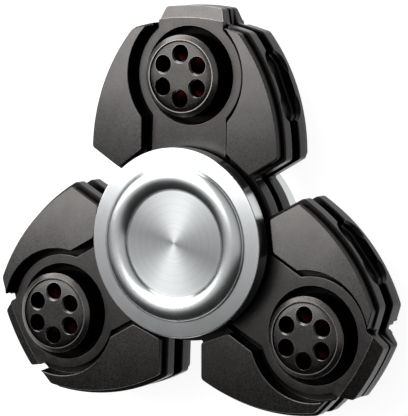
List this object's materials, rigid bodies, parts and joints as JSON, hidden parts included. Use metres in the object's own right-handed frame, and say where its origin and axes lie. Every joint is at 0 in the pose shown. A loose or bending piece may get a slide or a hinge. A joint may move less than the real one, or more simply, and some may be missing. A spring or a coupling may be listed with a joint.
{
  "type": "fidget spinner",
  "caption": "Flat three-armed metal fidget spinner with round finger caps, layered dark arms and a perforated plug at each arm's end.",
  "frame": {"origin": "on the spin axis at mid-thickness", "axes": "+Z out of the front face along the spin axis; +Y along arm 1 at rest; +X completes the right-handed frame"},
  "size_m": [0.0546, 0.0501, 0.0138],
  "materials": {
    "body_metal": "bead-blasted dark gunmetal anodising",
    "cheek_metal": "bead-blasted warm dark grey anodising",
    "ring_metal": "turned, dark anodised",
    "sleeve_red": "turned, red anodised",
    "cap_steel": "polished bead and flange, fine turning lines on the pad",
    "bearing_steel": "ground and polished",
    "cage_brass": "pressed"
  },
  "bodies": {
    "finger_caps": {"front_cap": "cap_steel", "back_cap": "cap_steel", "cap_stud": "bearing_steel", "inner_race": "bearing_steel"},
    "rotor": {"front_body": "body_metal", "front_arm1_spine": "body_metal", "front_arm1_cheek_right": "cheek_metal", "front_arm1_cheek_left": "cheek_metal", "front_arm1_plug_ring": "ring_metal", "front_arm1_grille": "body_metal", "front_arm2_spine": "body_metal", "front_arm2_cheek_right": "cheek_metal", "front_arm2_cheek_left": "cheek_metal", "front_arm2_plug_ring": "ring_metal", "front_arm2_grille": "body_metal", "front_arm3_spine": "body_metal", "front_arm3_cheek_right": "cheek_metal", "front_arm3_cheek_left": "cheek_metal", "front_arm3_plug_ring": "ring_metal", "front_arm3_grille": "body_metal", "back_body": "body_metal", "back_arm1_spine": "body_metal", "back_arm1_cheek_right": "cheek_metal", "back_arm1_cheek_left": "cheek_metal", "back_arm1_plug_ring": "ring_metal", "back_arm1_grille": "body_metal", "back_arm2_spine": "body_metal", "back_arm2_cheek_right": "cheek_metal", "back_arm2_cheek_left": "cheek_metal", "back_arm2_plug_ring": "ring_metal", "back_arm2_grille": "body_metal", "back_arm3_spine": "body_metal", "back_arm3_cheek_right": "cheek_metal", "back_arm3_cheek_left": "cheek_metal", "back_arm3_plug_ring": "ring_metal", "back_arm3_grille": "body_metal", "arm1_sleeve": "sleeve_red", "arm2_sleeve": "sleeve_red", "arm3_sleeve": "sleeve_red", "outer_race": "bearing_steel"},
    "ball_set": {"ball_cage": "cage_brass", "ball_1": "bearing_steel", "ball_2": "bearing_steel", "ball_3": "bearing_steel", "ball_4": "bearing_steel", "ball_5": "bearing_steel", "ball_6": "bearing_steel", "ball_7": "bearing_steel", "ball_8": "bearing_steel", "ball_9": "bearing_steel", "ball_10": "bearing_steel"}
  },
  "joints": [
    {"name": "rotor_spin", "type": "hinge", "parent": "finger_caps", "child": "rotor", "pos_m": [0, 0, 0], "axis": [0, 0, 1], "continuous": true},
    {"name": "cage_spin", "type": "hinge", "parent": "finger_caps", "child": "ball_set", "pos_m": [0, 0, 0], "axis": [0, 0, 1], "continuous": true}
  ],
  "couplings": [
    {"joint": "cage_spin", "follows": "rotor_spin", "ratio": 0.5834}
  ]
}
